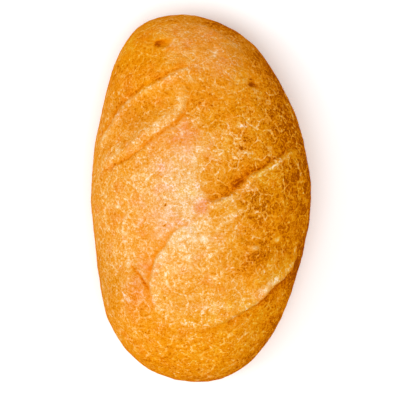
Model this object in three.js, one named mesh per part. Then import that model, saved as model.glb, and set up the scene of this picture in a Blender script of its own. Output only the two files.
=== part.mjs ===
// A short, oval baguette-dough bread roll, baked as one piece, with three slanting scores that have
// opened across its crown. Millimetres. +Z is up, +Y runs along the roll towards its narrower end.
// The flat base rests on z = 0, and the origin is the middle of the base.

import * as THREE from 'three';

// ---- driving dimensions ----
const LENGTH = 140;
const WIDTH = 83.5;
const HEIGHT = 55;
const WIDEST_HEIGHT = 17;     // height of the roll's widest line above the base
const BASE_INSET = 8;         // how far the flat base lies inside the widest line
const CROWN_POWER = 2.25;     // 2 is an ellipse; more makes a fuller shoulder
const WIDEST_AT = 0.8;        // share of the way from crown to base edge where the widest line lies

// Seen from above: the outline at the widest line, as points of a smooth closed curve.
const OUTLINE = [
  [41.4, -2], [39.8, 16], [34.2, 35], [21.6, 56.5], [7, 66.8], [-8.5, 70], [-22, 66.2], [-30.2, 57.2],
  [-36.4, 39], [-40.8, 18], [-41.8, 0], [-40.4, -18], [-38.8, -31], [-34.6, -48.2], [-21.2, -64.2],
  [-1, -70], [14.4, -65.4], [28, -50], [36.7, -27],
];

// The creases that the opened scores left, each as plan points of a smooth curve. `groove` is the
// depth cut below the crust and `reach` its half width. `lip` is the raised rim along the curve's
// left side as it is walked, or its right side where `lipSide` is -1. `step` is how much higher the
// flap on the lip's side stands, and `fade` how far from the crease that height dies away.
const CREASES = [
  // Upper score: its far edge, the sunk floor between the edges, and its near edge.
  {
    path: [[-39.3, 20], [-30.9, 34.8], [-23.4, 41.2], [-18.6, 43.8], [-8.5, 48.6], [-3, 49.8]],
    groove: 0.5, reach: 1.6, lip: 0.5, lipSide: -1, step: 0, fade: 8,
  },
  {
    path: [[-35, 19], [-27, 29.5], [-17, 37], [-6, 44]],
    groove: 1.6, reach: 5.5, lip: 0, lipSide: 1, step: 0, fade: 8,
  },
  {
    path: [
      [-36.5, 10.8], [-25.3, 17], [-19.7, 21.8], [-12.3, 26.8], [-7.6, 30.7], [-4.8, 36.3], [-4, 41.5],
    ],
    groove: 1.0, reach: 1.7, lip: 0.6, lipSide: 1, step: 0.4, fade: 7,
  },
  // Middle score.
  {
    path: [
      [1.6, 0.2], [4.6, -0.4], [10.5, 1.7], [14.6, 5.7], [17.7, 8.5], [23.9, 12.8], [30, 16.8],
      [38, 20.8],
    ],
    groove: 1.2, reach: 1.8, lip: 0.7, lipSide: -1, step: 0.9, fade: 10,
  },
  // Lower score: the big flap's far edge, then its near edge.
  {
    path: [[36, -21], [34, -26.6], [27.4, -34.6], [20.6, -39.6], [12.4, -45.2], [1.7, -49.2]],
    groove: 1.1, reach: 1.9, lip: 0.6, lipSide: -1, step: 1.5, fade: 16,
  },
  {
    path: [
      [-3.2, -9.6], [-10, -12.2], [-13.5, -17], [-17.4, -22.6], [-19.3, -29.5], [-19.4, -35],
      [-17.8, -42],
    ],
    groove: 1.1, reach: 1.9, lip: 0.6, lipSide: 1, step: 1.4, fade: 14,
  },
  // A swelling beside the flap.
  {
    path: [
      [-18.4, -1.5], [-26.2, -3.7], [-29.6, -10], [-29.9, -14.9], [-27.7, -22.4], [-23.2, -30],
      [-19.8, -35.6],
    ],
    groove: 0.6, reach: 1.8, lip: 0.4, lipSide: 1, step: 0.2, fade: 7,
  },
];
const LIP_OFFSET = 1.6;       // distance from a crease to the crest of its lip, in reaches
const END_TAPER = 0.8;        // less makes a crease keep its full depth nearer to its ends
const CREASES_FADE_FROM = 0.8;   // share of the way from crown to widest line where creases weaken
const CREASES_FADE_TO = 0.97;    // and where they have gone

// ---- looks ----
const CRUST_COLOUR = 0xe09a3c;
const CRUST_ROUGHNESS = 0.7;

// ---- mesh fineness ----
const CELLS_ACROSS = 46;
const CELLS_ALONG = 72;
const OUTLINE_SAMPLES = 720;
const CREASE_SAMPLES = 96;
const EDGE_TOLERANCE = 1e-9;  // places this close to the rim of the disc lie exactly on z = 0

// The outline's distance from the middle in each direction.
function makePlanRadius() {
  const knots = OUTLINE.map(([x, y]) => new THREE.Vector3(x, y, 0));
  const curve = new THREE.CatmullRomCurve3(knots, true, 'centripetal');
  const points = curve.getPoints(OUTLINE_SAMPLES);
  const box = new THREE.Box3().setFromPoints(points);
  const size = box.getSize(new THREE.Vector3());
  const middle = box.getCenter(new THREE.Vector3());
  const polar = points.slice(0, -1).map((p) => {
    const x = (p.x - middle.x) * WIDTH / size.x;
    const y = (p.y - middle.y) * LENGTH / size.y;
    return { angle: Math.atan2(y, x), radius: Math.hypot(x, y) };
  });
  polar.sort((a, b) => a.angle - b.angle);
  return (angle) => {
    let high = polar.findIndex((p) => p.angle >= angle);
    if (high < 0) high = 0;
    const after = polar[high];
    const before = polar[(high + polar.length - 1) % polar.length];
    const turn = 2 * Math.PI;
    const span = (after.angle - before.angle + turn) % turn;
    const share = ((angle - before.angle + turn) % turn) / span;
    return before.radius + (after.radius - before.radius) * share;
  };
}

// The smooth roll under the scores: a place and the outward direction there, for a point of the
// unit disc whose middle is the top of the crown and whose rim is the edge of the flat base.
function smoothRoll(p, q, planRadius) {
  const out = Math.hypot(p, q);
  const angle = Math.atan2(q, p);
  const direction = new THREE.Vector3(Math.cos(angle), Math.sin(angle), 0);
  const radius = planRadius(angle);
  const crown = HEIGHT - WIDEST_HEIGHT;
  if (out <= WIDEST_AT) {
    const bend = (out / WIDEST_AT) * Math.PI / 2;
    const across = Math.pow(Math.sin(bend), 2 / CROWN_POWER);
    const up = Math.pow(Math.max(Math.cos(bend), 0), 2 / CROWN_POWER);
    const place = direction.clone().multiplyScalar(radius * across);
    place.z = WIDEST_HEIGHT + crown * up;
    const normal = direction.clone().multiplyScalar(Math.pow(across, CROWN_POWER - 1) / radius);
    normal.z = Math.pow(up, CROWN_POWER - 1) / crown;
    return { place, normal: normal.normalize() };
  }
  const tuck = ((out - WIDEST_AT) / (1 - WIDEST_AT)) * Math.PI / 2;
  const place = direction.clone().multiplyScalar(radius - BASE_INSET * (1 - Math.cos(tuck)));
  place.z = out > 1 - EDGE_TOLERANCE ? 0 : WIDEST_HEIGHT * (1 - Math.sin(tuck));
  return { place, normal: direction };
}

// Nearest place on a crease: how far along it (0 to 1) and the signed distance, left positive.
function nearestOnCrease(line, x, y) {
  let best = { distance: Infinity, side: 1, along: 0 };
  for (let i = 0; i < line.length - 1; i += 1) {
    const dx = line[i + 1].x - line[i].x;
    const dy = line[i + 1].y - line[i].y;
    const share = ((x - line[i].x) * dx + (y - line[i].y) * dy) / (dx * dx + dy * dy);
    const t = Math.min(Math.max(share, 0), 1);
    const offX = x - line[i].x - t * dx;
    const offY = y - line[i].y - t * dy;
    const distance = Math.hypot(offX, offY);
    if (distance < best.distance) {
      best = { distance, side: Math.sign(dx * offY - dy * offX) || 1, along: (i + t) / (line.length - 1) };
    }
  }
  return best;
}

// Height that the creases add to the crust at a plan point.
function relief(x, y, lines) {
  let height = 0;
  CREASES.forEach((crease, index) => {
    const { distance, side, along } = nearestOnCrease(lines[index], x, y);
    const ends = Math.pow(Math.sin(Math.PI * along), END_TAPER);
    const lipDistance = distance * side * crease.lipSide;
    const rim = lipDistance / crease.reach - LIP_OFFSET;
    const flap = lipDistance > 0 ? Math.exp(-Math.pow(lipDistance / crease.fade, 2)) : 0;
    const rise = THREE.MathUtils.smoothstep(lipDistance, 0, crease.reach);
    height -= crease.groove * ends * Math.exp(-Math.pow(distance / crease.reach, 2));
    height += crease.lip * ends * Math.exp(-rim * rim);
    height += crease.step * ends * flap * rise;
  });
  return height;
}

// One place of the scored crust. The creases fade out where the roll turns under.
function crustPlace(p, q, planRadius, lines) {
  const { place, normal } = smoothRoll(p, q, planRadius);
  const out = Math.hypot(p, q) / WIDEST_AT;
  const strength = 1 - THREE.MathUtils.smoothstep(out, CREASES_FADE_FROM, CREASES_FADE_TO);
  if (strength > 0) place.addScaledVector(normal, relief(place.x, place.y, lines) * strength);
  return place;
}

// ---- the roll: one baked piece, a scored crust closed by its flat base ----
function makeRoll() {
  const planRadius = makePlanRadius();
  const lines = CREASES.map(({ path }) => {
    const knots = path.map(([x, y]) => new THREE.Vector3(x, y, 0));
    return new THREE.CatmullRomCurve3(knots, false, 'centripetal').getPoints(CREASE_SAMPLES);
  });

  // A square grid of cells, rounded into a disc and wrapped over the roll down to the base's edge.
  const positions = [];
  for (let row = 0; row <= CELLS_ALONG; row += 1) {
    for (let column = 0; column <= CELLS_ACROSS; column += 1) {
      const s = 2 * column / CELLS_ACROSS - 1;
      const t = 2 * row / CELLS_ALONG - 1;
      const place = crustPlace(
        s * Math.sqrt(1 - t * t / 2), t * Math.sqrt(1 - s * s / 2), planRadius, lines,
      );
      positions.push(place.x, place.y, place.z);
    }
  }
  const at = (column, row) => row * (CELLS_ACROSS + 1) + column;
  const faces = [];
  for (let row = 0; row < CELLS_ALONG; row += 1) {
    for (let column = 0; column < CELLS_ACROSS; column += 1) {
      const corners = [at(column, row), at(column + 1, row), at(column + 1, row + 1), at(column, row + 1)];
      faces.push(corners[0], corners[1], corners[2], corners[0], corners[2], corners[3]);
    }
  }

  // The base: its edge is the grid's border, walked clockwise seen from above, so it faces down.
  const border = [];
  for (let row = 0; row < CELLS_ALONG; row += 1) border.push(at(0, row));
  for (let column = 0; column < CELLS_ACROSS; column += 1) border.push(at(column, CELLS_ALONG));
  for (let row = CELLS_ALONG; row > 0; row -= 1) border.push(at(CELLS_ACROSS, row));
  for (let column = CELLS_ACROSS; column > 0; column -= 1) border.push(at(column, 0));
  const middle = positions.length / 3;
  positions.push(0, 0, 0);
  border.forEach((point, i) => faces.push(middle, point, border[(i + 1) % border.length]));

  const geometry = new THREE.BufferGeometry();
  geometry.setAttribute('position', new THREE.Float32BufferAttribute(positions, 3));
  geometry.setIndex(faces);
  geometry.computeVertexNormals();
  const crust = new THREE.MeshStandardMaterial({
    color: CRUST_COLOUR, roughness: CRUST_ROUGHNESS, metalness: 0,
  });
  const mesh = new THREE.Mesh(geometry, crust);
  mesh.name = 'bread_roll';
  return mesh;
}

const roll = new THREE.Group();
roll.name = 'scored_bread_roll';
roll.add(makeRoll());

export default roll;
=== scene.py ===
"""A short, oval bread roll with three opened scores, resting on a plain pale table.

Metres, +Z up, +Y along the roll towards its narrower end. Lengths on the dough are worked in
millimetres and turned into metres when the mesh is made.
"""

import bpy
import numpy as np
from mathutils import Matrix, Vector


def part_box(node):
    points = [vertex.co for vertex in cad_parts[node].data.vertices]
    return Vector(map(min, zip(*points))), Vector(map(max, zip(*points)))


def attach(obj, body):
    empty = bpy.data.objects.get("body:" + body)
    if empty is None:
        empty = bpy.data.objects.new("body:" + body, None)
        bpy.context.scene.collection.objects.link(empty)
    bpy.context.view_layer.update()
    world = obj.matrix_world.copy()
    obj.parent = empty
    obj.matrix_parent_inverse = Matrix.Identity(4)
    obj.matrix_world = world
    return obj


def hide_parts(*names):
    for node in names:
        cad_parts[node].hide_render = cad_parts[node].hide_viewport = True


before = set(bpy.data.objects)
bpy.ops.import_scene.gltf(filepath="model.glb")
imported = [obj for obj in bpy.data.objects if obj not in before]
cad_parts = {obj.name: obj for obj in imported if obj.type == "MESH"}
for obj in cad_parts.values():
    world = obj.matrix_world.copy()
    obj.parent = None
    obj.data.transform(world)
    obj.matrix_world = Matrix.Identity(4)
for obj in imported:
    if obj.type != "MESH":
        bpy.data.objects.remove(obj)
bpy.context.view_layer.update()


# ---------------------------------------------------------------------------------------------
# The dough: one oval lump of wheat dough, proved and baked standing on a tray, so it has a high
# crown, bulging sides that tuck under, and a flat base. It is a grid wrapped over the whole lump.
# ---------------------------------------------------------------------------------------------

MM = 0.001
low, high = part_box("bread_roll")
WIDTH = (high.x - low.x) / MM
LENGTH = (high.y - low.y) / MM
HEIGHT = 55.0
WIDEST_HEIGHT = 17.0
BASE_INSET = 8.0
CROWN_POWER = 2.25
WIDEST_AT = 0.84
CELLS_ACROSS = 268
CELLS_ALONG = 340

# The outline seen from above, as points of a smooth closed curve.
OUTLINE = [
    (41.4, -2), (39.8, 16), (34.2, 35), (21.6, 56.5), (7, 66.8), (-8.5, 70), (-22, 66.2), (-30.2, 57.2),
    (-36.4, 39), (-40.8, 18), (-41.8, 0), (-40.4, -18), (-38.8, -31), (-34.6, -48.2), (-21.2, -64.2),
    (-1, -70), (14.4, -65.4), (28, -50), (36.7, -27),
]
OUTLINE_PIECES = 40


def smooth_curve(knots, closed, pieces):
    """Points on a curve through the knots: between two knots, a blend of straight lines through
    four neighbouring knots, each spaced by the square root of the knots' distance."""
    knots = np.array(knots, float)
    if closed:
        knots = np.vstack([knots[-1:], knots, knots[:2]])
    else:
        knots = np.vstack([2 * knots[0] - knots[1], knots, 2 * knots[-1] - knots[-2]])
    share = np.linspace(0, 1, pieces, endpoint=False)[:, None]
    points = []
    for k in range(len(knots) - 3):
        a, b, c, d = knots[k:k + 4]
        t0 = 0.0
        t1 = t0 + np.linalg.norm(b - a) ** 0.5
        t2 = t1 + np.linalg.norm(c - b) ** 0.5
        t3 = t2 + np.linalg.norm(d - c) ** 0.5
        t = t1 + (t2 - t1) * share
        ab = a + (b - a) * (t - t0) / (t1 - t0)
        bc = b + (c - b) * (t - t1) / (t2 - t1)
        cd = c + (d - c) * (t - t2) / (t3 - t2)
        abc = ab + (bc - ab) * (t - t0) / (t2 - t0)
        bcd = bc + (cd - bc) * (t - t1) / (t3 - t1)
        points.append(abc + (bcd - abc) * (t - t1) / (t2 - t1))
    if not closed:
        points.append(knots[-2:-1])
    return np.vstack(points)


def smooth_step(value, start, end):
    """0 before start, 1 after end, and a smooth S between them."""
    share = np.clip((value - start) / (end - start), 0, 1)
    return share * share * (3 - 2 * share)


def outline_radius(angle):
    """The outline's distance from the middle in each direction, read off the closed curve after it
    is stretched to the roll's width and length."""
    ring = smooth_curve(OUTLINE, True, OUTLINE_PIECES)
    lowest, highest = ring.min(0), ring.max(0)
    ring = (ring - (lowest + highest) / 2) * np.array([WIDTH, LENGTH]) / (highest - lowest)
    turn = np.arctan2(ring[:, 1], ring[:, 0])
    order = np.argsort(turn)
    return np.interp(angle, turn[order], np.hypot(ring[:, 0], ring[:, 1])[order], period=2 * np.pi)


def dough_form(p, q):
    """Places and outward directions on the smooth lump for points of the unit disc. From the middle
    to WIDEST_AT the lump falls from the crown as a fuller-than-round arch scaled to the outline;
    from there to the rim it tucks in by a quarter ellipse down to the base's edge."""
    out = np.hypot(p, q)
    angle = np.arctan2(q, p)
    radius = outline_radius(angle)
    crown = HEIGHT - WIDEST_HEIGHT
    bend = np.clip(out / WIDEST_AT, 0, 1) * np.pi / 2
    across = np.sin(bend) ** (2 / CROWN_POWER)
    up = np.clip(np.cos(bend), 0, 1) ** (2 / CROWN_POWER)
    tuck = np.clip((out - WIDEST_AT) / (1 - WIDEST_AT), 0, 1) * np.pi / 2
    above = out <= WIDEST_AT
    reach = np.where(above, radius * across, radius - BASE_INSET * (1 - np.cos(tuck)))
    z = np.where(above, WIDEST_HEIGHT + crown * up, WIDEST_HEIGHT * (1 - np.sin(tuck)))
    place = np.stack([reach * np.cos(angle), reach * np.sin(angle), z], -1)
    side = np.where(above, across ** (CROWN_POWER - 1) / radius, np.cos(tuck) / BASE_INSET)
    rise = np.where(above, up ** (CROWN_POWER - 1) / crown, -np.sin(tuck) / WIDEST_HEIGHT)
    normal = np.stack([side * np.cos(angle), side * np.sin(angle), rise], -1)
    return place, normal / np.linalg.norm(normal, axis=-1, keepdims=True)


s, t = np.meshgrid(np.linspace(-1, 1, CELLS_ACROSS + 1), np.linspace(-1, 1, CELLS_ALONG + 1))
disc_x = s * np.sqrt(1 - t * t / 2)
disc_y = t * np.sqrt(1 - s * s / 2)
form, outward = dough_form(disc_x, disc_y)
form_x, form_y, form_z = form[..., 0], form[..., 1], form[..., 2]
fullness = np.hypot(disc_x, disc_y)


# The scores: slanting cuts that opened in the oven. Each left a crease. On one side of it the crust
# lifted: a thin rim stands along the crease, and a flap may stand behind the rim. On the other side
# the crust sank and baked redder, and painted shade darkens the wall that turns from the lamps.
# Lengths and heights are millimetres, colour changes are 0 to 1. Depths and heights: groove, rim,
# flap, sunk. Half widths: reach of the groove, flap_fade, sunk_width, stain_width,
# shift_fade. rim_at is how far the rim stands from the crease. Colour changes: stain is
# browner beside the crease, a redder stain with painted shade on it; pale is lighter on the rim.
PLAIN_CREASE = {
    "groove": 0.0, "reach": 1.0, "rim": 0.0, "rim_at": 2.0, "flap": 0.0, "flap_fade": 10, "sunk": 0.0,
    "sunk_width": 2.5, "stain": 0.0, "stain_width": 2.4, "pale": 0.0, "shift": 0.0, "shift_fade": 8,
    "taper": 0.8, "peak": 0.5,
}


def score(path, raised_side, **sizes):
    """One crease: its path over the plan and the sizes of what lies along it. raised_side is 1 where
    the rim stands to the left of the walk along the path, and -1 where it stands to the right. It is
    strongest at the peak's share of the path, and taper says how soon it fades towards its ends.
    shift is how much lighter the raised side is than the sunk side: partly a paler bake, and partly
    painted light on the raised side and painted shade on the sunk side."""
    return {**PLAIN_CREASE, **sizes, "path": path, "raised_side": raised_side}


SCORES = [
    # Upper score: the thin far edge, the sunk floor of the opened cut, and the near edge's rim.
    score([(-39.3, 20), (-36, 27), (-30.9, 34.8), (-27.6, 38), (-23.4, 41.2), (-18.6, 43.8),
           (-8.5, 48.6), (-3, 49.8)], -1, groove=0.35, reach=0.7, rim=0.7, rim_at=1.8, stain=0.20,
          stain_width=0.7, pale=0.26, shift=0.03, taper=0.35),
    score([(-35, 19), (-27, 29.5), (-17, 37), (-6, 44)], 1, groove=2.0, reach=5.5, taper=1.2),
    score([(-36.5, 10.8), (-30.9, 13), (-25.3, 17), (-19.7, 21.8), (-12.3, 26.8), (-7.6, 30.7),
           (-4.8, 36.3), (-4, 41.5)], 1, groove=0.7, reach=0.6, rim=0.5, rim_at=2.8, flap=0.4,
          flap_fade=7, stain=0.22, stain_width=0.7, pale=0.16, taper=0.35, peak=0.42),
    # Middle score: a deep fold, then a pale lip below it, then the dark wall above it, darkened by painted
    # shade.
    score([(1.6, 0.2), (4.6, -0.4), (10.5, 1.6), (14.6, 5.6), (17.7, 8.4), (20.7, 10.6), (23.9, 12.8),
           (27, 14.8), (30.4, 16.8), (34.1, 19.2), (38, 21)], -1, groove=0.8, reach=0.5, rim=0.7,
          rim_at=2.0, flap=0.9, flap_fade=12, sunk=0.7, sunk_width=2.2, stain=0.22, stain_width=0.8,
          pale=0.14, shift=0.08, shift_fade=7, taper=0.6, peak=0.35),
    score([(18.3, 7.6), (20.7, 9.4), (24, 11.6), (28.6, 14.4), (33, 17.2), (37, 19.2)], -1, rim=0.2,
          rim_at=0.9, pale=0.44, peak=0.4),
    score([(3.6, -0.2), (10.5, 2.0), (14.6, 6.0), (17.7, 8.8), (20.7, 11.0), (22.6, 12.2)], -1, stain=0.32,
          stain_width=2.3, taper=1.3, peak=0.42),
    # Lower score: the big flap's far edge, the cream strip torn along it, a thin pale line above
    # that, then the flap's near edge.
    score([(36, -21), (34.6, -25.4), (31.4, -29.4), (28.3, -31.9), (26, -34.6), (23.8, -37.2),
           (20.6, -39.8), (12.4, -45.2), (1.7, -49.2)], -1, groove=0.7, reach=0.8, rim=0.5,
          rim_at=1.6, flap=1.5, flap_fade=18, sunk=0.5, sunk_width=4.0, stain=0.22, stain_width=2.8,
          pale=0.10, shift=0.08, shift_fade=9, taper=0.6, peak=0.42),
    score([(33, -27.4), (30.4, -29.8), (28, -31.8), (25.6, -34.4), (23, -37), (19, -39.4)], -1, rim=0.4,
          rim_at=2.2, pale=0.46, taper=1.5, peak=0.52),
    score([(36.4, -15), (35.2, -20.4), (33.4, -24.6), (30.4, -28.8)], -1, rim=0.2, rim_at=0.8, pale=0.34,
          taper=0.4),
    score([(-3.2, -9.6), (-10, -12.2), (-13.5, -17), (-17.4, -22.6), (-19.3, -29.5), (-19.4, -35),
           (-17.8, -42)], 1, groove=0.4, reach=0.8, rim=0.4, rim_at=2.0, flap=1.1, flap_fade=15,
          sunk=0.7, sunk_width=3.2, stain=0.26, stain_width=0.8, pale=0.03, shift=0.11, shift_fade=10,
          taper=0.5),
    # A swelling beside the flap, outlined by a faint ridge that turns into a crease.
    score([(-18.4, -1.5), (-26.2, -3.7), (-29.6, -10), (-29.9, -14.9), (-27.7, -22.4)], 1, rim=0.55,
          rim_at=0.8, pale=0.28, taper=0.6, peak=0.6),
    score([(-27.4, -23), (-25.2, -26.8), (-23.2, -30), (-21, -32.6), (-19.8, -35.6)], 1, groove=0.9,
          reach=0.7, rim=0.3, rim_at=1.6, pale=0.12, stain=0.52, stain_width=0.6, taper=0.6, peak=0.62),
    # A fold where the narrower end turns down; its darker far side along the rim is painted shade.
    score([(-3, 66.6), (3, 65.2), (8.4, 62.4), (12.8, 58.6), (16.4, 54.4)], -1, groove=0.3, reach=0.8,
          flap=0.6, flap_fade=5, shift=0.13, shift_fade=4, taper=0.6),
    # A short dent near the narrower end: the stain inside it is painted shade, and the pale brim at its
    # right end is a painted highlight.
    score([(-18.2, 57.6), (-16.4, 58.6), (-14.2, 59.3), (-11.8, 59.5)], 1, rim=0.1, rim_at=0.8, stain=0.32,
          stain_width=1.3, taper=0.6, peak=0.4),
    score([(-12.4, 60.6), (-11.0, 59.4), (-11.8, 57.8), (-14.6, 56.4), (-16.6, 56.0)], 1, rim=0.15,
          rim_at=0.6, pale=0.24, taper=0.5, peak=0.35),
    # The pale brim of the pit on the right of that end.
    score([(16.9, 44.3), (17.9, 42.2), (19.4, 40.9), (21.4, 40.2)], -1, rim=0.12, rim_at=0.5, pale=0.24,
          taper=0.5),
    # The seam where the pale left half of the crown meets the browner right half.
    score([(-4, 23), (-1.5, 14), (-1, 6), (0.8, -0.5), (4, -8), (9, -14)], -1, rim=0.15, rim_at=0.6,
          pale=0.16, shift=0.09, shift_fade=9, taper=0.5),
    # Thin stretch marks on the long sides and beside the seam.
    score([(34.4, 19.4), (34.9, 14.2), (36.8, 9.6), (37.4, 4)], 1, rim=0.12, rim_at=0.6, pale=0.34,
          taper=0.5),
    score([(28.6, 7.6), (31.4, 2.9), (33.4, 0.4), (35.2, -4.1)], 1, rim=0.12, rim_at=0.6, pale=0.28,
          taper=0.5),
    score([(27.9, 6.7), (29.4, 0.4), (30, -3), (28.4, -7.8)], 1, rim=0.12, rim_at=0.6, pale=0.26, taper=0.5),
    score([(37.2, 6.6), (37.9, 0.4), (39, -8.1)], 1, rim=0.12, rim_at=0.6, pale=0.22, taper=0.5),
    score([(3.5, -13.3), (11.4, -8.2), (18.4, -4)], 1, rim=0.12, rim_at=0.6, pale=0.30, taper=0.6),
    score([(6, -8.4), (11.3, -7), (16.5, -4.1), (22, -1.5)], 1, rim=0.12, rim_at=0.6, pale=0.20, taper=0.6),
    score([(-30.5, -35), (-28.8, -37.6), (-26.8, -39.8)], 1, rim=0.2, rim_at=0.5, pale=0.40, taper=0.5),
    score([(-36.2, -3), (-36.4, -6.5), (-36.2, -9)], 1, rim=0.2, rim_at=0.5, pale=0.30, taper=0.5),
]


def nearest_on_line(x, y, line):
    """For each plan point, the signed distance to a line of short straight pieces (left of its walk
    is positive) and how far along it the nearest place lies, from 0 to 1."""
    best = np.full(x.shape, np.inf)
    signed = np.zeros(x.shape)
    along = np.zeros(x.shape)
    for k in range(len(line) - 1):
        ax, ay = line[k]
        dx, dy = line[k + 1] - line[k]
        share = np.clip(((x - ax) * dx + (y - ay) * dy) / (dx * dx + dy * dy), 0, 1)
        off_x = x - ax - share * dx
        off_y = y - ay - share * dy
        distance = np.hypot(off_x, off_y)
        nearer = distance < best
        best = np.where(nearer, distance, best)
        signed = np.where(nearer, np.where(dx * off_y - dy * off_x < 0, -distance, distance), signed)
        along = np.where(nearer, (k + share) / (len(line) - 1), along)
    return signed, along


def bell(distance, width):
    """1 in the middle, falling to 0 past about twice the width: e to minus the square."""
    return np.exp(-(distance / width) ** 2)


LATTICE = 32
LATTICE_OFFSET = 1000.0


def soft_noise(points, cell, seed):
    """Smooth random values from -1 to 1: seeded values on a cubic lattice of that cell size,
    blended between the eight corners round each point by smooth steps. The lattice repeats after
    LATTICE cells, and the offset keeps every cell number positive."""
    table = np.random.default_rng(seed).uniform(-1, 1, (LATTICE, LATTICE, LATTICE))
    scaled = points / cell + LATTICE_OFFSET
    whole = np.floor(scaled).astype(int)
    share = scaled - whole
    share = share * share * (3 - 2 * share)
    total = np.zeros(points.shape[:-1])
    for corner in np.ndindex(2, 2, 2):
        weight = np.ones(points.shape[:-1])
        for axis in range(3):
            part = share[..., axis]
            weight = weight * (part if corner[axis] else 1 - part)
        i, j, k = ((whole[..., axis] + corner[axis]) % LATTICE for axis in range(3))
        total += weight * table[i, j, k]
    return total


# How wide a rim is for its distance from the crease, where the flap's rise starts and ends for the
# groove's reach, how far off the sunk strip's middle lies for its width, how far the stain and its
# painted shade reach onto the raised side, and how far to either side the bake and the painted light
# and shade turn over.
SCORE_PIECES = 12
RIM_SPREAD = 0.6
RISE_FROM = -0.2
RISE_TO = 1.6
SINK_OFFSET = 0.8
STAIN_AND_SHADE_ON_RIM = 0.5
TURNOVER = 0.8


def opened_scores(x, y):
    """Sum over the creases of a bell-shaped groove, a bell-shaped rim beside it, a flap that rises
    by a smooth step and dies away, and a bell-shaped sunk strip on the other side. Each fades at
    its ends by a power of the sine of the way along. Returns the height, how stained the crust is
    there, with painted shade on the sunk side, how pale, and how much browner, partly by bake and
    partly by painted light and shade."""
    height = np.zeros(x.shape)
    stained_and_shaded = np.zeros(x.shape)
    paled = np.zeros(x.shape)
    shifted = np.zeros(x.shape)
    for cut in SCORES:
        signed, along = nearest_on_line(x, y, smooth_curve(cut["path"], False, SCORE_PIECES))
        ends = np.sin(np.pi * along ** (np.log(0.5) / np.log(cut["peak"]))) ** cut["taper"]
        across = signed * cut["raised_side"]
        rim = bell(across - cut["rim_at"], RIM_SPREAD * cut["rim_at"])
        rise = smooth_step(across, RISE_FROM * cut["reach"], RISE_TO * cut["reach"])
        sinking = bell(across + SINK_OFFSET * cut["sunk_width"], cut["sunk_width"])
        height += ends * (cut["rim"] * rim + cut["flap"] * rise * bell(across, cut["flap_fade"]))
        height -= ends * (cut["groove"] * bell(signed, cut["reach"]) + cut["sunk"] * sinking)
        # The stain's bell: wide on the sunk side, where painted shade darkens the wall, narrow on the raised
        # side.
        shadow = np.where(across < 0, bell(across, cut["stain_width"]), bell(across, STAIN_AND_SHADE_ON_RIM))
        stained_and_shaded = np.maximum(stained_and_shaded, ends * cut["stain"] * shadow)
        paled = np.maximum(paled, ends * cut["pale"] * rim)
        turned = 1 - 2 * smooth_step(across, -TURNOVER, TURNOVER)
        shifted += ends * cut["shift"] * bell(across, cut["shift_fade"]) * turned
    return height, stained_and_shaded, paled, shifted


def layered_noise(layers):
    """Sum over the lump of noises, each (strength, size in millimetres, seed)."""
    return sum(strength * soft_noise(form, size, seed) for strength, size, seed in layers)


# The knife and the oven leave no smooth lines, so the creases wander a little and vary in strength.
# They end where the crown turns down into the sides.
wander_x = layered_noise([(0.55, 4.0, 11), (0.30, 1.6, 12)])
wander_y = layered_noise([(0.55, 4.0, 13), (0.30, 1.6, 14)])
on_crown = 1 - smooth_step(fullness / WIDEST_AT, 0.91, 1.02)
relief, stain, pale, browner = opened_scores(form_x + wander_x, form_y + wander_y)
relief = relief * on_crown
stain = stain * (1 + layered_noise([(0.35, 2.6, 15), (0.25, 1.3, 16)])) * on_crown
pale = pale * (1 + layered_noise([(0.40, 2.6, 17), (0.30, 1.3, 18)])) * on_crown
browner = browner * on_crown


# Lumps under the crust: broad swells, which flatten out round the widest line, and the fine
# wrinkles that the skin dried into.
swelling = 1 - 0.7 * bell(form_z - WIDEST_HEIGHT, 9)
relief += swelling * layered_noise([(0.8, 24, 1), (0.40, 11, 2)])
relief += layered_noise([(0.22, 5, 3), (0.13, 2.4, 4), (0.05, 1.3, 5)])


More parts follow.
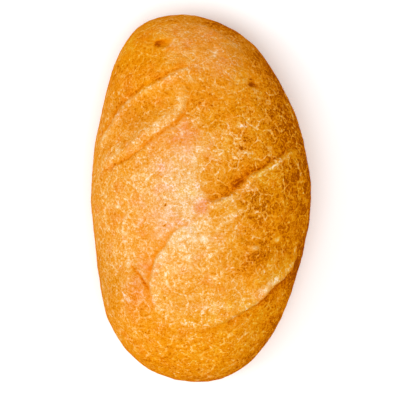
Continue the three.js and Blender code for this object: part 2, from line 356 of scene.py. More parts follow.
# Blisters and dents that gas left under the skin: (x, y, half width, half length, height, colour),
# where colour above 0 is browner and below 0 paler.
BLISTERS = [
    (1.3, -15.4, 2.0, 1.6, 0.40, -0.30),
    (-2.2, -15.2, 0.9, 1.4, 0.25, -0.24),
    (-5.5, -22, 1.6, 1.0, 0.20, -0.22),
    (20.0, -18.2, 1.7, 0.9, 0.25, -0.60),
    (28.2, -15.4, 1.2, 0.9, 0.20, -0.55),
    (19.2, -23.8, 0.8, 0.6, 0.15, -0.28),
    (20.8, -4.8, 0.9, 0.7, 0.15, -0.22),
    (-27.2, -24.6, 1.3, 1.3, 0.30, -0.28),
    (-6.6, -17.8, 0.9, 1.3, 0.15, -0.20),
    (14.3, 22.2, 1.2, 0.8, 0.15, -0.24),
    (15.2, 26.8, 2.0, 0.7, 0.10, -0.30),
    (2.3, 33.0, 0.8, 0.8, 0.15, -0.28),
    (8.4, 33.8, 0.6, 1.3, 0.10, -0.26),
    (12.3, 15.8, 1.1, 0.9, 0.15, -0.26),
    (-0.3, 17.9, 1.3, 1.2, 0.15, -0.24),
    (4.4, 3.4, 0.9, 0.7, 0.15, -0.16),
    (-24, 4, 0.6, 0.6, 0.10, -0.25),
    (-31.5, 18, 0.6, 0.6, 0.10, -0.25),
    # The next two are the dent near the narrower end: their browning is painted shade in its hollow.
    (-14.8, 58.2, 2.8, 1.3, -0.60, 0.12),
    (-16.2, 57.7, 1.0, 0.8, -0.20, 0.16),
    (19.2, 42.8, 1.9, 1.2, -0.60, 0.50),
    (21.2, -20.6, 2.6, 1.5, -0.10, 0.10),
    (14.6, -27.2, 1.2, 1.2, 0.10, 0.12),
    (18.6, 45.0, 0.6, 0.4, -0.20, 0.50),
    (32.0, 27.0, 1.6, 2.2, -0.20, 0.16),
    (-7.6, 20.5, 1.3, 1.2, -0.10, 0.16),
    (-32.4, -5.6, 0.7, 0.7, -0.15, 0.30),
    (-31.0, 49.0, 0.9, 0.9, -0.25, 0.20),
    (-13.3, -2.4, 0.4, 0.4, -0.35, 1.30),
    (-13.3, -10.0, 0.40, 0.36, -0.40, 2.00),
    (2.3, 14.7, 0.4, 0.4, -0.35, 0.50),
    (16.7, 27.1, 0.4, 0.35, -0.30, 0.50),
    (0.9, -19.0, 0.4, 0.4, -0.30, 0.50),
    (-13.6, -37.2, 0.5, 0.5, -0.30, 0.45),
    (11.6, 5.2, 0.4, 0.3, 0.10, -0.40),
]


def blistered(x, y):
    """Sum of flat-topped bells over the plan, one to a blister, each e to minus the cube of the
    distance in half widths: their height, how much browner they are, and how much paler."""
    height = np.zeros(x.shape)
    browned = np.zeros(x.shape)
    paled = np.zeros(x.shape)
    for middle_x, middle_y, half_width, half_length, rise, brown in BLISTERS:
        bump = np.exp(-(((x - middle_x) / half_width) ** 2 + ((y - middle_y) / half_length) ** 2) ** 1.5)
        height += rise * bump
        browned += max(brown, 0) * bump
        paled += max(-brown, 0) * bump
    return height, browned, paled


# How much of the creases' wander the blisters' outlines share.
UNROUND = 0.3
blister_x = form_x + UNROUND * wander_x
blister_y = form_y + UNROUND * wander_y
blister_height, blister_brown, blister_pale = blistered(blister_x, blister_y)
relief += blister_height * on_crown
browner += blister_brown * on_crown
pale += blister_pale * on_crown

# The crust itself: the relief stands on the smooth lump, and dies away just above the flat base.
SETTLED_HEIGHT = 5.0
LEAST_GAP = 0.02
TOUCHING = 1e-6
on_tray = form_z < TOUCHING
settled = smooth_step(form_z, 0.0, SETTLED_HEIGHT)
crust = form + outward * (relief * settled)[..., None]
crust[..., 2] = np.where(on_tray, 0.0, np.maximum(crust[..., 2], LEAST_GAP))


# How hard the crust baked, from 0 (pale) to 1 (brown), with painted shade added in places: a mean
# value plus soft oval patches, each (middle x, middle y, half width, half length, change). Past the
# knee it is held back.
MEAN_BAKE = 0.51
BAKE_KNEE = 0.66
BAKE_ROOM = 0.33
BAKE_AND_SHADING_PATCHES = [
    # The narrower end. The patches at (5, 67), (9, 66) and (11, 63) are painted shade on the fold's
    # far side along the rim.
    (20, 50, 5, 5, 0.10), (-10, 50, 5, 3, -0.12), (18, 57, 5, 4, -0.10), (-14, 68, 6, 3, 0.08),
    (11, 63, 6, 4, 0.10), (15.5, 59.5, 3, 3, -0.12), (-28, 55, 4, 6, -0.08), (4, 58, 16, 8, -0.06),
    (-8, 58, 9, 6, -0.20), (-22, 52, 13, 12, 0.14), (-26, 57, 4, 4, -0.10), (9, 54, 14, 9, -0.06),
    (5, 67, 10, 2.4, 0.20), (4, 58, 24, 9, 0.07), (-15, 59, 5, 4, -0.05), (9, 66, 5, 2.5, 0.08),
    (-15, 58, 5, 4, -0.04),
    # The crown round the upper score.
    (5, 20, 8, 4, -0.08), (14, 24, 3, 2.5, -0.08), (-2.5, 34, 3, 3, 0.06), (-2, 36, 3, 5, 0.08),
    (9, 27, 3, 3, 0.08), (15.5, 20, 3, 3, 0.14), (13, 26, 3, 4, -0.08), (-5, 24, 5, 4, -0.12),
    (5, 34, 9, 9, 0.12), (9, 23, 6, 4, -0.10), (20, 36, 4, 6, -0.14), (15, 44, 4, 4, -0.08),
    (16.5, 28, 3, 2.5, -0.12), (15, 22, 2.5, 3, 0.10), (1, 20, 4, 4, -0.08), (-23, 32, 7, 6, 0.20),
    (-10, 31, 7, 4, -0.08),
    # The left half of the crown, the palest part.
    (-10, 9, 15, 14, -0.20), (-3, -14, 11, 9, -0.10), (-9.5, -3, 3, 4, 0.10), (-6, -11, 4, 2.5, -0.07),
    (-17, 16, 4, 4, 0.06), (-4.2, -5, 2.5, 4, -0.10), (-9, 10, 4, 3, 0.07), (-9, -19.5, 4, 4, 0.08),
    (-0.5, 1, 3, 6, -0.06), (-10, 15, 8, 7, -0.14), (-15, -14, 8, 9, -0.14), (-14, -3, 8, 7, -0.16),
    (-22, -14, 16, 24, -0.07), (-10, -9, 12, 5, -0.10), (-2, -20, 4, 7, -0.08), (-15, 18, 4, 3, 0.18),
    (-20, 12, 9, 5, 0.08),
    # The right half of the crown, beside the middle score. The patches at (12, 5.8), (6.5, 3.0) and
    # (4, 6) are painted shade on the dark wall above the score.
    (20, -2, 6, 6, 0.14), (0.2, -3.2, 3, 3, 0.06), (12, 5.8, 3, 2.4, 0.12), (6.5, 3.0, 4.2, 3.0, 0.12),
    (10, 17, 3, 3, -0.08), (2.6, -0.4, 3, 2, -0.12), (4, 6, 2.5, 2.5, 0.14), (18, -2, 5, 5, 0.14),
    (16.5, 9, 2.5, 2.5, -0.08), (13.5, -4, 3, 3, -0.10), (4, -5, 4, 3, 0.10), (0, 3, 4, 5, -0.08),
    (20.4, -7.6, 2.5, 1.6, -0.12), (21, -0.8, 3, 2.5, -0.09),
    # The flap.
    (-8, -33, 17, 10, -0.09), (2, -46, 18, 9, -0.07), (20, -9, 6, 13, 0.12),
    (21.5, -21.5, 3.5, 2.0, 0.24), (-19, -26, 4, 6, -0.08), (23, -19, 5, 4, 0.16),
    (17, -24, 5, 3.5, 0.24), (0, -20, 4, 5, -0.06), (-15, -31, 8, 6, -0.08), (11, -40, 6, 4, -0.10),
    (23, -35, 4, 3, 0.08), (11, -16, 4, 3, -0.08), (4, -9, 3, 3, 0.08), (15, -23, 4, 3, 0.06),
    (-17, -30, 3, 6, 0.05), (11, -10, 3, 4, -0.08), (15, -34, 10, 2.5, -0.10), (-16, -31, 3, 4, 0.05),
    (21, -21.4, 2.6, 1.6, -0.07),
    # The left side.
    (-38, -22, 3, 8, 0.14), (-38, -4, 5, 22, -0.07), (-30, 29, 4, 3, 0.08), (-26, 41, 3, 3, -0.08),
    (-36, -35, 5, 20, 0.05), (-38, 9, 4, 5, 0.06), (-34, 27, 4, 6, -0.06), (-31, 41, 3, 4, 0.10),
    (-40, 17, 3, 6, -0.06), (-26, 12, 14, 10, -0.05), (-25, -21, 4, 9, -0.10), (-25, -27, 6, 7, -0.08),
    (-28, 9, 10, 4, 0.10),
    # The right side, the brownest part.
    (27, 33, 13, 22, 0.22), (36, 8, 5, 9, 0.08), (24, -20.5, 5, 3, 0.20), (25, -41, 3, 3, 0.12),
    (27.3, -11.4, 3.0, 1.5, 0.10), (34, -6, 12, 28, 0.28), (26.6, 7, 3, 3, -0.14),
    (26, -23, 3.5, 3, -0.14), (31.5, 24.5, 5, 4, 0.22), (31, -21, 3.5, 4, -0.12),
    (25.5, -23, 3, 2, -0.08), (31, -42, 4, 6, -0.06), (36, 4, 4, 6, -0.05), (33, -37, 5, 9, -0.16),
    (37, -8, 3, 8, -0.06), (37, 16, 3, 4, 0.10), (27, -8, 4, 3, -0.10), (31, 43, 6, 10, 0.10),
    (33, 7, 4.5, 7, 0.16), (26, 15, 6, 6, -0.24), (24, 28, 7, 10, -0.06), (24, -47, 10, 8, 0.06),
    (31, -44, 4, 5, -0.05), (25, -23, 3, 2.5, -0.05),
    # The broader end.
    (-3, -60, 10, 4, 0.05), (0, -50, 7, 4, -0.08), (0, -69, 16, 2, 0.08), (15, -61, 3, 3, 0.10),
    (8, -64, 3, 3, -0.10), (5, -50, 5, 2.5, 0.10), (-4, -68, 26, 7, 0.15), (-2, -56, 26, 8, 0.05),
]

# More patches, each (middle x, middle y, half width, half length, strength). First, where the
# crust baked pinkish.
BLUSH_PATCHES = [
    (0.2, -3.2, 2.8, 2.8, 1.7),
    (-5.5, 24.5, 4, 5, 0.7),
    (-9, 21, 8, 7, 0.4),
    (-14, 12, 7, 6, 0.3),
    (-15, -10, 9, 10, 0.5),
    (-20, -25, 4, 5, 0.6),
    (-24, -36, 5, 6, 1.0),
    (-27, 31, 6, 5, 0.4),
    (2, 60, 22, 9, 0.4),
    (12, 50, 12, 8, 0.2),
]

# Where it baked yellower.
GOLDEN_PATCHES = [
    (38, 6, 20, 72, 1.5),
    (12, 34, 10, 14, 0.5),
    (-2, -60, 40, 16, 1.0),
    (-24, 56, 16, 14, 1.1),
    (-20, 36, 6, 6, 0.3),
    (25, -45, 8, 5, 1.0),
]

# Where the thin skin baked duller. The broad patch over the middle of the crown also paints the crust's
# sheen.
DULL_AND_SHEEN_PATCHES = [
    (-6, 2, 30, 34, 1.0),
    (-2, -42, 18, 10, 0.5),
    (-27, 32, 7, 6, 0.9),
    (-23, -30, 5, 7, 0.5),
    (-33, -32, 8, 12, 0.8),
    (18, -2, 7, 6, 0.6),
    (15, -22, 6, 4, 0.6),
    (14, 56, 9, 7, 0.6),
]

# How strongly the skin crazed into a coarse pale net as it dried: below 0 it crazed less.
CRAZED_PATCHES = [
    (26, 22, 16, 26, 0.9),
    (28, -12, 12, 18, -0.20),
    (6, 14, 9, 9, 0.4),
    (0, -45, 26, 16, 0.2),
    (-24, 55, 14, 12, 0.2),
    (-8, 18, 6, 7, -0.4),
    (-14, -12, 7, 8, -0.4),
    (-21, -30, 4, 7, -0.5),
]

# Where the skin stayed smooth: in the dents, on the pale blisters and beside the scores.
SMOOTH_PATCHES = [
    (-14.6, 58.3, 4, 2, 0.50),
    (19, 42.9, 2.4, 1.8, 0.85),
    (12, 6.5, 5, 3, 0.45),
    (4, 4, 4, 3, 0.25),
    (29, 21, 6, 4, 0.30),
    (0.2, -3.4, 3, 3, 0.35),
    (-8, 20, 9, 8, 0.25),
    (-14, -12, 8, 9, 0.15),
    (-21, -31, 5, 9, 0.25),
    (-26, 30, 7, 6, 0.15),
    (25.3, -33.2, 5, 2.5, 0.60),
    (1.3, -15.3, 2.6, 1.8, 0.90),
    (-2.2, -15.2, 1.4, 1.6, 0.50),
    (20.0, -18.2, 2.0, 1.3, 0.60),
    (28.2, -15.4, 1.5, 1.2, 0.60),
    (22, 11, 5, 2.5, 0.30),
]

# Where fine fibres show, running round the narrower end.
FIBROUS_PATCHES = [
    (3, 60, 22, 11, 1.0),
    (16, 46, 12, 10, 0.7),
    (-22, 50, 12, 14, 0.6),
]


def patch_field(place, patches):
    """Sum of soft ovals over the plan, each a bell times its strength."""
    total = np.zeros(place.shape[:-1])
    for x, y, half_width, half_length, strength in patches:
        oval = ((place[..., 0] - x) / half_width) ** 2 + ((place[..., 1] - y) / half_length) ** 2
        total += strength * np.exp(-oval)
    return total


# How much browner or paler each band of the sides is, how high the two lowest bands reach, and how
# much and how slowly the bands' height wavers round the roll.
# The right shoulder darkens the side turned from the window lamp: partly browner crust, partly painted
# shade.
RIGHT_SHOULDER = 0.38
LOWER_SIDES = 0.13
TRAY_BAND = 0.10
TRAY_BAND_HEIGHT = 6
TRAY_EDGE = 0.30
TRAY_EDGE_HEIGHT = 3.5
WAVER = 3.0
WAVER_SIZE = 12
NEARLY_NOTHING = 1e-9
facing_right = outward[..., 0] / (np.hypot(outward[..., 0], outward[..., 1]) + NEARLY_NOTHING)


def bake_and_shading_field(place):
    """The mean plus the patches, which fade out down the sides, and a darker shoulder on the
    right: partly browner crust, partly painted shade on the side turned from the window lamp. The
    sides are an even golden brown: paler in a band above the tray, and darkest at the edge that
    stood on it."""
    z = place[..., 2]
    wavy_z = z + WAVER * soft_noise(place, WAVER_SIZE, 21)
    shoulder = smooth_step(fullness / WIDEST_AT, 0.60, 0.90) * smooth_step(wavy_z, 12, 25)
    bake = MEAN_BAKE + patch_field(place, BAKE_AND_SHADING_PATCHES) * smooth_step(wavy_z, 8, 24)
    bake += RIGHT_SHOULDER * shoulder * smooth_step(facing_right, 0.0, 0.5)
    bake += LOWER_SIDES * (1 - smooth_step(wavy_z, 12, 30))
    bake -= TRAY_BAND * bell(wavy_z - TRAY_BAND_HEIGHT, TRAY_BAND_HEIGHT)
    return bake + TRAY_EDGE * (1 - smooth_step(z, 0, TRAY_EDGE_HEIGHT))


def held_back(bake):
    """Bake left as it is up to BAKE_KNEE, and above that bent over so that it never adds more than
    BAKE_ROOM: the knee plus the room times the hyperbolic tangent of the excess over the room."""
    excess = np.maximum(bake - BAKE_KNEE, 0)
    return np.minimum(bake, BAKE_KNEE) + BAKE_ROOM * np.tanh(excess / BAKE_ROOM)


# The base: the flat underside, closed by rings that shrink to a point in the middle.
BASE_RINGS = 6


def rolled_mesh():
    """The crust's grid with the base joined to its border: base rings are the border's loop
    scaled towards the middle, all at height 0. Returns the points, the crust's faces and the
    base's faces, with the fan of triangles round the middle apart."""
    rows, columns = CELLS_ALONG + 1, CELLS_ACROSS + 1
    number = np.arange(rows * columns).reshape(rows, columns)
    corners = [number[:-1, :-1], number[:-1, 1:], number[1:, 1:], number[1:, :-1]]
    quads = np.stack(corners, -1).reshape(-1, 4)
    loop = np.concatenate([number[:-1, 0], number[-1, :-1], number[:0:-1, -1], number[0, :0:-1]])
    places = crust.reshape(-1, 3)
    shrink = np.linspace(1, 0, BASE_RINGS + 1)[1:-1]
    rings = places[loop][None] * shrink[:, None, None]
    first = len(places)
    ring_number = first + np.arange(len(shrink) * len(loop)).reshape(len(shrink), len(loop))
    stack = np.vstack([loop[None], ring_number])
    following = np.roll(stack, -1, axis=1)
    base_quads = np.stack([stack[:-1], following[:-1], following[1:], stack[1:]], -1).reshape(-1, 4)
    middle = first + ring_number.size
    fan = np.stack([stack[-1], following[-1], np.full(len(loop), middle)], -1)
    points = np.vstack([places, rings.reshape(-1, 3), [[0, 0, 0]]])
    return points, quads, base_quads, fan


points, quads, base_quads, fan = rolled_mesh()
mesh = bpy.data.meshes.new("bread_roll_crust")
mesh.from_pydata((points * MM).tolist(), [], quads.tolist() + base_quads.tolist() + fan.tolist())
mesh.update()
mesh.shade_smooth()


# Where the two parts lie on the map, whose sides run from 0 to 1.
MAP_MARGIN = 0.01
CRUST_WIDE = 0.98
CRUST_FROM = 0.24
CRUST_TALL = 0.75
BASE_SCALE = 0.42


def lay_out_skin():
    """A map with no overlaps: the crust's grid fills the upper part, and the base, seen straight
    on and turned on its side, lies below it."""
    corner = np.zeros(len(mesh.loops), np.int32)
    mesh.loops.foreach_get("vertex_index", corner)
    grid_u = MAP_MARGIN + CRUST_WIDE * (s + 1) / 2
    grid_v = CRUST_FROM + CRUST_TALL * (t + 1) / 2
    grid = np.stack([grid_u, grid_v], -1).reshape(-1, 2)
    flat_u = 2 * MAP_MARGIN + (points[:, 1] / LENGTH + 0.5) * BASE_SCALE
    flat_v = MAP_MARGIN + (points[:, 0] / LENGTH + 0.3) * BASE_SCALE
    flat = np.stack([flat_u, flat_v], -1)
    on_base = np.zeros(len(mesh.polygons), bool)
    on_base[len(quads):] = True
    sides = np.zeros(len(mesh.polygons), np.int32)
    mesh.polygons.foreach_get("loop_total", sides)
    base_corner = np.repeat(on_base, sides)
    where = np.where(base_corner[:, None], flat[corner], grid[np.minimum(corner, len(grid) - 1)])
    layer = mesh.uv_layers.new(name="OFBake")
    layer.data.foreach_set("uv", where.astype(np.float32).ravel())


lay_out_skin()


def add_attribute(name, values, on_base=0.0):
    """A number for each place on the crust, and one number for the whole base."""
    attribute = mesh.attributes.new(name, "FLOAT", "POINT")
    full = np.full(len(points), on_base, np.float32)
    full[:values.size] = values.ravel()
    attribute.data.foreach_set("value", full)


# What the oven did at each place, with painted shade and a painted sheen among it. The patches'
# edges are ragged, as the creases are. The stain beside a crease, with its painted shade, is also
# pinker and yellower than the rest.
RAGGEDNESS = 1.6
CREASE_BLUSH = 1.3
CREASE_GOLD = 2.0
BASE_BAKE = 0.9
BASE_NET = 0.3
SIDE_NET = 0.35
ragged = form + RAGGEDNESS * np.stack([wander_x, wander_y, np.zeros(form.shape[:-1])], -1)
above_side = smooth_step(form_z, 4, 30)
on_flap = smooth_step(-browner, 0.01, 0.09) * smooth_step(-form_y, 6, 9)
blush = patch_field(ragged, BLUSH_PATCHES) * on_crown * (1 - on_flap) + CREASE_BLUSH * stain
golden = patch_field(ragged, GOLDEN_PATCHES) * smooth_step(form_z, 6, 26) + CREASE_GOLD * stain
dull = patch_field(ragged, DULL_AND_SHEEN_PATCHES) * on_crown - CREASE_GOLD * stain
smooth = patch_field(ragged, SMOOTH_PATCHES) + stain
netted = SIDE_NET + (1 - SIDE_NET) * smooth_step(form_z, 5, 34) - smooth
add_attribute("bake", held_back(bake_and_shading_field(ragged)) + browner, on_base=BASE_BAKE)
add_attribute("stain", stain)
add_attribute("pale", pale)
add_attribute("blush", blush)
add_attribute("golden", golden)
add_attribute("dull", dull)
add_attribute("smooth", smooth)
add_attribute("netted", netted, on_base=BASE_NET)
add_attribute("crazed", patch_field(ragged, CRAZED_PATCHES) * above_side)

# The fibres run round a centre near the narrower end: the way along them and the way across, in
# metres, with the way along squeezed so that each fibre is long and thin.
END_CENTRE = 22.0
END_RADIUS = 42.0
FIBRE_SQUEEZE = 0.28
round_end = np.arctan2(form_y - END_CENTRE, form_x)
add_attribute("fibrous", patch_field(ragged, FIBROUS_PATCHES) * above_side)
add_attribute("along_fibre", round_end * END_RADIUS * MM * FIBRE_SQUEEZE)
add_attribute("across_fibre", np.hypot(form_x, form_y - END_CENTRE) * MM)

roll = bpy.data.objects.new("baked_roll", mesh)
bpy.context.scene.collection.objects.link(roll)


# The crust's colour and finish: golden where the skin is thin, browner where it baked harder, with
# a net of fine pale cracks. Shade is painted into the creases, the right shoulder and the fold at the
# narrower end, and a sheen onto the middle of the crown.


class Shade:
    """One output of the crust's shader. Sums with it add Math nodes, and node() adds any other."""

    def __init__(self, tree, socket=None):
        self.tree = tree
        self.socket = socket

    def node(self, kind, settings=None, sockets=None, out=0):
        """Adds a node: its settings first, a colour ramp's stops among them, then values or links
        for its sockets. Returns one of its outputs, or nothing for the node that ends the material."""
        made = self.tree.nodes.new(kind)
        for name, value in (settings or {}).items():
            if name == "stops":
                ramp = made.color_ramp
                while len(ramp.elements) < len(value):
                    ramp.elements.new(1.0)
                for element, (position, colour) in zip(ramp.elements, value):
                    element.position = position
                    element.color = colour
            else:
                setattr(made, name, value)
        for name, value in (sockets or {}).items():
            if isinstance(value, Shade):
                self.tree.links.new(value.socket, made.inputs[name])
            else:
                made.inputs[name].default_value = value
        return None if out is None else Shade(self.tree, made.outputs[out])

    def math(self, operation, first, second=None, clamp=False):
        """A Math node on one or two numbers, which may be clamped to between 0 and 1."""
        inputs = {0: first} if second is None else {0: first, 1: second}
        return self.node("ShaderNodeMath", {"operation": operation, "use_clamp": clamp}, inputs)

    def __add__(self, other):
        return self.math("ADD", self, other)

    __radd__ = __add__

    def __sub__(self, other):
        return self.math("SUBTRACT", self, other)

    def __rsub__(self, other):
        return self.math("SUBTRACT", other, self)

    def __mul__(self, other):
        return self.math("MULTIPLY", self, other)

    __rmul__ = __mul__

    def __abs__(self):
        return self.math("ABSOLUTE", self)

    def limited(self):
        """The number held between 0 and 1."""
        return self.math("ADD", self, 0.0, clamp=True)

    def painted(self, name):
        """A number stored on the mesh under that name."""
        return self.node("ShaderNodeAttribute", {"attribute_name": name}, out="Fac")

    def toned(self, stops):
        """A colour looked up from a list of positions and colours."""
        return self.node("ShaderNodeValToRGB", {"stops": stops}, {"Fac": self}, out="Color")

    def between(self, start, end):
        """0 at start, 1 at end, with a smooth S between them."""
        return self.node("ShaderNodeMapRange", {"interpolation_type": "SMOOTHSTEP"},
                         {"Value": self, "From Min": start, "From Max": end})

    def moved(self, operation, other):
        """A Vector Math node on two vectors."""
        return self.node("ShaderNodeVectorMath", {"operation": operation}, {0: self, 1: other})

    def sized(self, scale):
        """A vector times a number."""
        return self.node("ShaderNodeVectorMath", {"operation": "SCALE"}, {0: self, "Scale": scale})

    def noise(self, size, detail=2.0, roughness=0.5, colour=False):
        """Cloudy noise whose cells are about size millimetres wide; self is a place in metres."""
        values = {"Vector": self, "Scale": 1 / (size * MM), "Detail": detail, "Roughness": roughness}
        return self.node("ShaderNodeTexNoise", {"noise_dimensions": "3D"}, values,
                         out="Color" if colour else "Fac")

    def crack(self, size):
        """Distance to the edges of irregular cells about size millimetres wide."""
        return self.cells(size, "DISTANCE_TO_EDGE")

    def spot(self, size):
        """Distance to the nearest of points scattered about size millimetres apart."""
        return self.cells(size, "F1")

    def cells(self, size, feature):
        """A Voronoi node on irregular cells about size millimetres wide."""
        return self.node("ShaderNodeTexVoronoi", {"voronoi_dimensions": "3D", "feature": feature},
                         {"Vector": self, "Scale": 1 / (size * MM)}, out="Distance")

    def tinted(self, tint, share):
        """This colour multiplied by a tint, by a share from 0 to 1."""
        return self.node("ShaderNodeMix", {"data_type": "RGBA", "blend_type": "MULTIPLY"},
                         {0: share, 6: self, 7: tint}, out=2)


# How light each degree of baking is, in linear light: cream cracks, gold, orange, brown. A bake of
# 1 is looked up at TONE_REACH, which leaves room for the spots that baked hardest.
TONE_REACH = 0.85
CRUST_TONES = [
    (0.00, (0.84, 0.63, 0.38, 1)),
    (0.1275, (0.77, 0.50, 0.22, 1)),
    (0.255, (0.72, 0.39, 0.110, 1)),
    (0.3825, (0.685, 0.295, 0.046, 1)),
    (0.51, (0.665, 0.240, 0.014, 1)),
    (0.6375, (0.625, 0.195, 0.003, 1)),
    (0.748, (0.54, 0.146, 0.001, 1)),
    (0.85, (0.38, 0.084, 0.001, 1)),
    (1.00, (0.27, 0.050, 0.001, 1)),
]

# Tints that the colour is multiplied by where the crust is pinkish, where it is yellower, and where it is
# duller with a painted sheen.
BLUSH = (1.0, 0.80, 1.25, 1)
GOLDEN = (1.0, 1.0, 0.25, 1)
DULL_AND_SHEEN = (0.91, 1.0, 1.33, 1)


# The cells that the skin cracked into, and how far their edges wobble, in millimetres. Then the
# noises whose sum mottles the crust: (size, detail, roughness, strength). The last two also
# roughen it. The lift makes up for what the pale cracks take from the bake.
BROAD_CELL = 5.2
SMALL_CELL = 2.1
WOBBLE = 2.8
LIFT = 0.16
FINE = (0.95, 2.0, 0.6, 0.88)
GRAIN = (0.42, 1.0, 0.5, 0.65)
MOTTLE = [(13, 3.0, 0.6, 0.50), (3.5, 3.0, 0.6, 0.64), (2.0, 1.0, 0.5, 0.30), FINE, GRAIN]


def pale_net(place, bent, cell, small_cell, broken, crazed):
    """A net of broad cracks along the cells' edges, broken off here and there, with a finer net,
    thin squiggles and small specks between them."""
    broad = (1 - cell.between(0.01, 0.095)) * broken
    middle = (1 - small_cell.between(0.0, 0.17)) * place.noise(2.3, 1.0).between(0.40, 0.62)
    thread = 1 - abs(place.noise(1.5, 1.0, 0.5) - 0.5).between(0.0, 0.06)
    squiggle = thread * place.noise(2.0, 1.0).between(0.46, 0.60)
    speck = (1 - bent.spot(1.15).between(0.06, 0.42)) * place.noise(2.6, 1.0).between(0.42, 0.60)
    return broad * (crazed * 0.7 + 0.55) + middle * 0.45 + squiggle * 0.5 + speck * 0.6


def fine_fibres(place, wobble):
    """Long thin strands: the places where a stretched noise crosses its middle value."""
    way = {"X": place.painted("along_fibre"), "Y": place.painted("across_fibre")}
    flow = place.node("ShaderNodeCombineXYZ", None, way, out="Vector").moved("ADD", wobble)
    strand = 1 - abs(flow.noise(1.2, 1.0, 0.5) - 0.5).between(0.0, 0.08)
    return strand * flow.noise(1.9, 1.0).between(0.38, 0.56)


def baked_crust():
    """The crust's material. One number, how hard each spot is baked, with painted shade in the stored
    bake and the stain, runs through the tones: the stored bake, plus the mottle, less the cracks and
    fibres. Three tints then multiply it, the last also a painted sheen."""
    material = bpy.data.materials.new("baked_crust")
    material.use_nodes = True
    tree = material.node_tree
    tree.nodes.clear()
    place = Shade(tree).node("ShaderNodeTexCoord", out="Object")
    baked_and_shaded = place.painted("bake")
    pale = place.painted("pale")
    crazed = place.painted("crazed")
    smooth = place.painted("smooth").limited()
    fibrous = place.painted("fibrous").limited()

    sway = place.noise(WOBBLE, 1.5, 0.5, colour=True).moved("SUBTRACT", (0.5, 0.5, 0.5))
    wobble = sway.sized(WOBBLE * MM)
    bent = place.moved("ADD", wobble)
    cell = bent.crack(BROAD_CELL)
    small_cell = bent.crack(SMALL_CELL)
    broken = (place.noise(3.6, 2.0) + crazed * 0.07).between(0.45, 0.58)
    island = (1 - cell.between(0.05, 0.24)) * broken
    net = pale_net(place, bent, cell, small_cell, broken, crazed)
    cracks = net * place.painted("netted") * (1 - fibrous * 0.6)
    cracks = (cracks + fine_fibres(place, wobble) * fibrous * (0.60 - smooth * 0.60)).limited()

    mottle = sum((place.noise(*look) - 0.5) * strength for *look, strength in MOTTLE)
    mottle = mottle * (1 - smooth * 0.6 - fibrous * 0.28) * (0.97 - baked_and_shaded * 0.15 + crazed * 0.40)
    bake = baked_and_shaded + mottle + LIFT + island * crazed * 0.18
    # The stain adds a redder crust and painted shade beside the creases.
    bake = bake - cracks * (baked_and_shaded * 0.48 + 0.20) - pale + place.painted("stain")

    hue = place.noise(6.0, 2.0)
    pink = (place.painted("blush") + hue.between(0.50, 0.75) * 0.5) * (1 - cracks * 0.7)
    yellow = place.painted("golden") + hue.between(0.50, 0.25) * 0.4 - pale * 2 - cracks * 0.8
    colour = (bake * TONE_REACH).toned(CRUST_TONES)
    colour = colour.tinted(BLUSH, pink.limited())
    colour = colour.tinted(GOLDEN, yellow.limited())
    # The last tint: a duller skin, and a painted sheen over the middle of the crown.
    colour = colour.tinted(DULL_AND_SHEEN, place.painted("dull").limited())

    height = cell.between(0.0, 0.35) * 0.5 + small_cell.between(0.0, 0.3) * 0.5
    height = height + place.noise(*FINE[:3]) * 0.6 + place.noise(*GRAIN[:3]) * 0.3
    bump = place.node("ShaderNodeBump", None, {"Strength": 0.7, "Distance": 0.3 * MM, "Height": height},
                      out="Normal")
    surface = place.node("ShaderNodeBsdfPrincipled", None, {
        "Base Color": colour, "Roughness": cracks * 0.15 + 0.52, "Normal": bump, "Specular IOR Level": 0.0,
    }, out="BSDF")
    place.node("ShaderNodeOutputMaterial", None, {"Surface": surface}, out=None)
    return material


mesh.materials.append(baked_crust())
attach(roll, "root")
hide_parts("bread_roll")


# ---------------------------------------------------------------------------------------------
# The table and the light: a plain pale table top, a soft window lamp on the left, a broader and
# stronger lamp overhead and a pale room.
# ---------------------------------------------------------------------------------------------

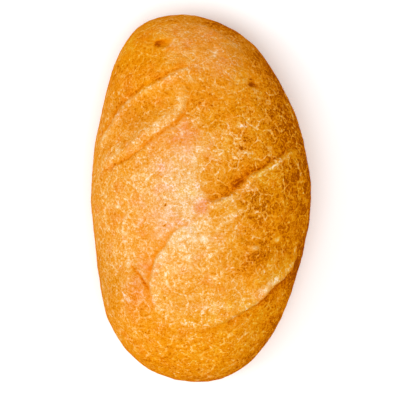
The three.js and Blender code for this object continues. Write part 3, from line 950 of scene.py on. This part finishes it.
TABLE_HALF = 4.0
TABLE_GREY = (0.94, 0.94, 0.94, 1)
table_corners = [(TABLE_HALF * a, TABLE_HALF * b, 0) for a, b in ((-1, -1), (1, -1), (1, 1), (-1, 1))]
table_mesh = bpy.data.meshes.new("table_top")
table_mesh.from_pydata(table_corners, [], [(0, 1, 2, 3)])
table = bpy.data.objects.new("table_top", table_mesh)
bpy.context.scene.collection.objects.link(table)
table_paint = bpy.data.materials.new("table_paint")
table_paint.use_nodes = True
paint = table_paint.node_tree.nodes["Principled BSDF"]
paint.inputs["Base Color"].default_value = TABLE_GREY
paint.inputs["Roughness"].default_value = 0.9
paint.inputs["Specular IOR Level"].default_value = 0.0
table_mesh.materials.append(table_paint)


def soft_lamp(name, place, size, watts):
    """A square lamp at a place and of a size, both in metres, turned to face the roll."""
    light = bpy.data.lights.new(name, "AREA")
    light.size = size
    light.energy = watts
    lamp = bpy.data.objects.new(name, light)
    lamp.location = place
    lamp.rotation_mode = "QUATERNION"
    lamp.rotation_quaternion = (-lamp.location).to_track_quat("-Z", "Y")
    bpy.context.scene.collection.objects.link(lamp)


soft_lamp("window_lamp", (-0.80, -0.04, 0.95), 0.7, 5.4)
soft_lamp("ceiling_lamp", (0.0, -0.30, 1.4), 1.0, 12.9)

ROOM_LIGHT = 0.66
world = bpy.data.worlds.new("pale_room")
world.use_nodes = True
world.node_tree.nodes["Background"].inputs["Color"].default_value = (1, 1, 1, 1)
world.node_tree.nodes["Background"].inputs["Strength"].default_value = ROOM_LIGHT
bpy.context.scene.world = world
bpy.context.scene.view_settings.view_transform = "Standard"


# ---------------------------------------------------------------------------------------------
# The camera: straight above the roll, far away with a long lens.
# ---------------------------------------------------------------------------------------------

FRAME_WIDTH = 152.4
CAMERA_HEIGHT = 1500.0
CAMERA_X = -0.4
CAMERA_Y = -0.6
SENSOR_WIDTH = 36
camera_data = bpy.data.cameras.new("camera")
camera_data.sensor_width = SENSOR_WIDTH
camera_data.lens = SENSOR_WIDTH * CAMERA_HEIGHT / FRAME_WIDTH
camera = bpy.data.objects.new("camera", camera_data)
camera.location = (CAMERA_X * MM, CAMERA_Y * MM, (CAMERA_HEIGHT + WIDEST_HEIGHT) * MM)
bpy.context.scene.collection.objects.link(camera)
bpy.context.scene.camera = camera
